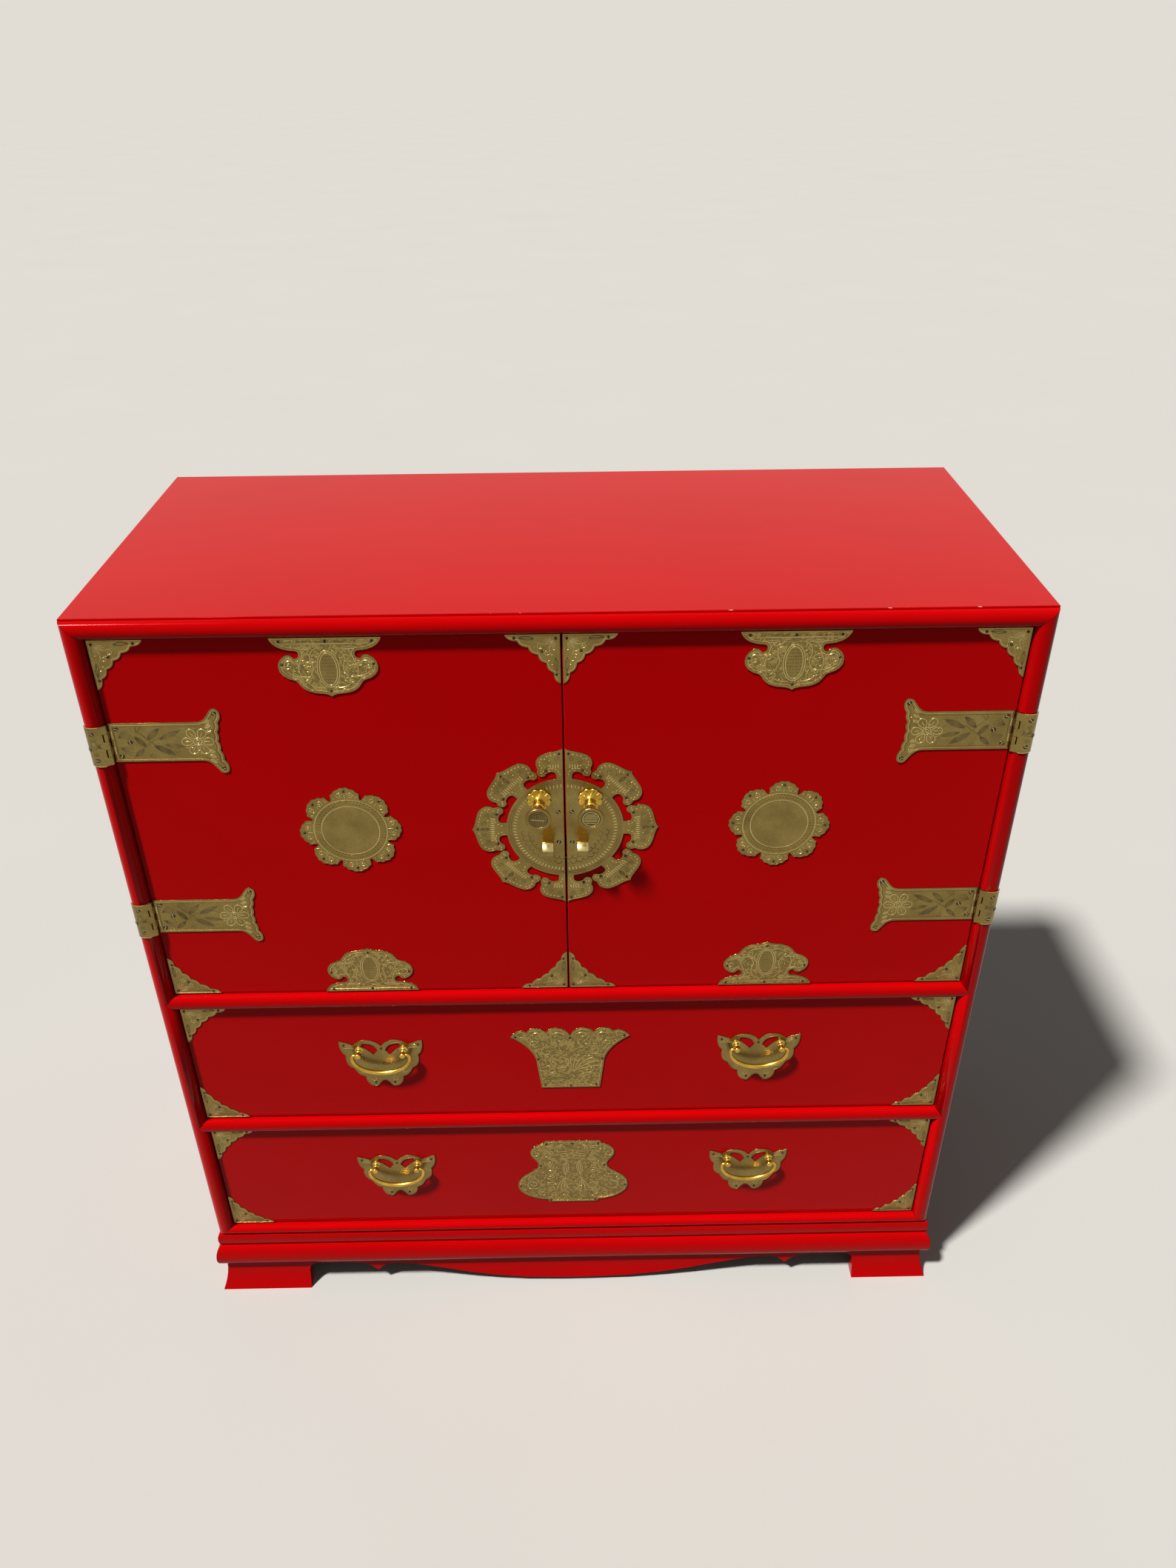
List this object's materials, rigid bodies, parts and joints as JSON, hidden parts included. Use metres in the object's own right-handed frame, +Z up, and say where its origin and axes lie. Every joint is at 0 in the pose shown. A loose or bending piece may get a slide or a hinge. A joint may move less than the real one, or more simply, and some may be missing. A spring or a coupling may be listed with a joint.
{
  "type": "chest of drawers",
  "caption": "Red lacquer cabinet chest with inset doors above wide drawers, shaped brass hinges, lock plates and bail pulls, on a moulded bracket-foot base.",
  "frame": {"origin": "on the floor under the middle of the whole object, knobs included", "axes": "+Z up, front faces -Y, +X to the right seen from the front"},
  "size_m": [1.088, 0.5114, 1.126],
  "materials": {
    "red_lacquer": "high-gloss red lacquer over wood",
    "plain_wood": "plain unfinished wood inside and at the back",
    "brass": "aged brass, engraved, with brighter knobs and bails"
  },
  "bodies": {
    "case": {"back_panel": "plain_wood", "base_back": "red_lacquer", "base_front": "red_lacquer", "base_left": "red_lacquer", "base_right": "red_lacquer", "bottom_panel": "plain_wood", "bottom_rail": "red_lacquer", "door_bay_floor": "red_lacquer", "drawer_divider": "red_lacquer", "left_door_lower_frame_leaf": "brass", "left_door_lower_hinge_pin": "brass", "left_door_upper_frame_leaf": "brass", "left_door_upper_hinge_pin": "brass", "left_side": "red_lacquer", "left_stile": "red_lacquer", "right_door_lower_frame_leaf": "brass", "right_door_lower_hinge_pin": "brass", "right_door_upper_frame_leaf": "brass", "right_door_upper_hinge_pin": "brass", "right_side": "red_lacquer", "right_stile": "red_lacquer", "shelf": "plain_wood", "top_panel": "red_lacquer", "top_rail": "red_lacquer"},
    "left_door": {"left_door_bottom_cloud": "brass", "left_door_knob": "brass", "left_door_lower_strap": "brass", "left_door_medallion": "brass", "left_door_panel": "red_lacquer", "left_door_roundel": "brass", "left_door_top_cloud": "brass", "left_door_upper_strap": "brass"},
    "right_door": {"right_door_bottom_cloud": "brass", "right_door_knob": "brass", "right_door_lower_strap": "brass", "right_door_medallion": "brass", "right_door_panel": "red_lacquer", "right_door_roundel": "brass", "right_door_top_cloud": "brass", "right_door_upper_strap": "brass"},
    "upper_drawer": {"upper_drawer_back": "plain_wood", "upper_drawer_bottom": "plain_wood", "upper_drawer_front": "red_lacquer", "upper_drawer_left_pull": "brass", "upper_drawer_left_side": "plain_wood", "upper_drawer_plate": "brass", "upper_drawer_right_pull": "brass", "upper_drawer_right_side": "plain_wood"},
    "lower_drawer": {"lower_drawer_back": "plain_wood", "lower_drawer_bottom": "plain_wood", "lower_drawer_front": "red_lacquer", "lower_drawer_left_pull": "brass", "lower_drawer_left_side": "plain_wood", "lower_drawer_plate": "brass", "lower_drawer_right_pull": "brass", "lower_drawer_right_side": "plain_wood"},
    "lower_drawer_left_bail": {"lower_drawer_left_bail": "brass"},
    "lower_drawer_right_bail": {"lower_drawer_right_bail": "brass"},
    "upper_drawer_left_bail": {"upper_drawer_left_bail": "brass"},
    "upper_drawer_right_bail": {"upper_drawer_right_bail": "brass"}
  },
  "joints": [
    {"name": "left_door_hinge", "type": "hinge", "parent": "case", "child": "left_door", "pos_m": [-0.512, -0.2146, 0.84775], "axis": [0, 0, -1], "range_deg": [0, 150]},
    {"name": "right_door_hinge", "type": "hinge", "parent": "case", "child": "right_door", "pos_m": [0.512, -0.2146, 0.84775], "axis": [0, 0, 1], "range_deg": [0, 150]},
    {"name": "upper_drawer_slide", "type": "slide", "parent": "case", "child": "upper_drawer", "axis": [0, -1, 0], "range_m": [0, 0.32]},
    {"name": "upper_drawer_left_bail_hinge", "type": "hinge", "parent": "upper_drawer", "child": "upper_drawer_left_bail", "pos_m": [-0.254, -0.2214, 0.49], "axis": [-1, 0, 0], "range_deg": [0, 90]},
    {"name": "upper_drawer_right_bail_hinge", "type": "hinge", "parent": "upper_drawer", "child": "upper_drawer_right_bail", "pos_m": [0.254, -0.2214, 0.49], "axis": [-1, 0, 0], "range_deg": [0, 90]},
    {"name": "lower_drawer_slide", "type": "slide", "parent": "case", "child": "lower_drawer", "axis": [0, -1, 0], "range_m": [0, 0.32]},
    {"name": "lower_drawer_left_bail_hinge", "type": "hinge", "parent": "lower_drawer", "child": "lower_drawer_left_bail", "pos_m": [-0.254, -0.2214, 0.262], "axis": [-1, 0, 0], "range_deg": [0, 90]},
    {"name": "lower_drawer_right_bail_hinge", "type": "hinge", "parent": "lower_drawer", "child": "lower_drawer_right_bail", "pos_m": [0.254, -0.2214, 0.262], "axis": [-1, 0, 0], "range_deg": [0, 90]}
  ]
}
